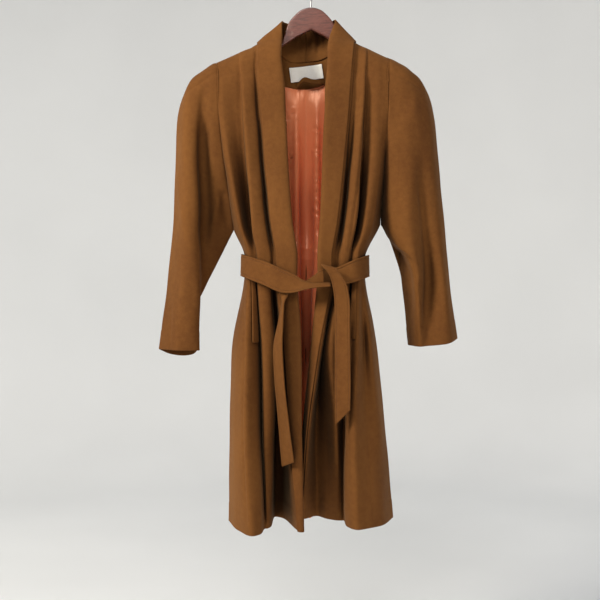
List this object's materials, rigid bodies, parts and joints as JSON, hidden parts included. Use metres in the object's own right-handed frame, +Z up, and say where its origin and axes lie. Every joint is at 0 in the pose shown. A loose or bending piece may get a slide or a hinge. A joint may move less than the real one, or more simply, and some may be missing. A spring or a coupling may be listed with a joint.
{
  "type": "belted shawl-collar wrap coat on a wooden hanger",
  "caption": "Brown wool wrap coat with a shawl collar, wide padded shoulders, released pleats, tie belt and rust satin lining, hanging open on a dark lacquered wooden hanger.",
  "frame": {"origin": "the inside top of the hanger's hook, where a rail bears on it", "axes": "+Z up, the coat's height; +X to the wearer's left, across the shoulders; the coat's front and its opening face -Y"},
  "size_m": [0.6537, 0.2119, 1.1874],
  "materials": {
    "shell_coating": "matt brushed wool coating, tobacco brown",
    "lining_satin": "soft sheen satin, rust",
    "label_cloth": "woven label, matt, blank",
    "hanger_lacquer": "glossy clear lacquer over dark red-brown stained wood",
    "hanger_steel": "bright drawn steel wire"
  },
  "bodies": {
    "root": {"front_right": "shell_coating", "front_left": "shell_coating", "back": "shell_coating", "sleeve_right_front": "shell_coating", "sleeve_right_back": "shell_coating", "sleeve_left_front": "shell_coating", "sleeve_left_back": "shell_coating", "lining_back": "lining_satin", "lining_front_right": "lining_satin", "lining_front_left": "lining_satin", "collar_right": "shell_coating", "collar_left": "shell_coating", "back_neck_facing": "shell_coating", "label": "label_cloth", "hanging_loop": "shell_coating", "belt_round": "shell_coating", "belt_knot": "shell_coating", "belt_end_left": "shell_coating", "belt_end_right": "shell_coating", "pocket_welt_right": "shell_coating", "pocket_welt_left": "shell_coating", "hanger_body": "hanger_lacquer", "hanger_hook": "hanger_steel"}
  },
  "joints": []
}
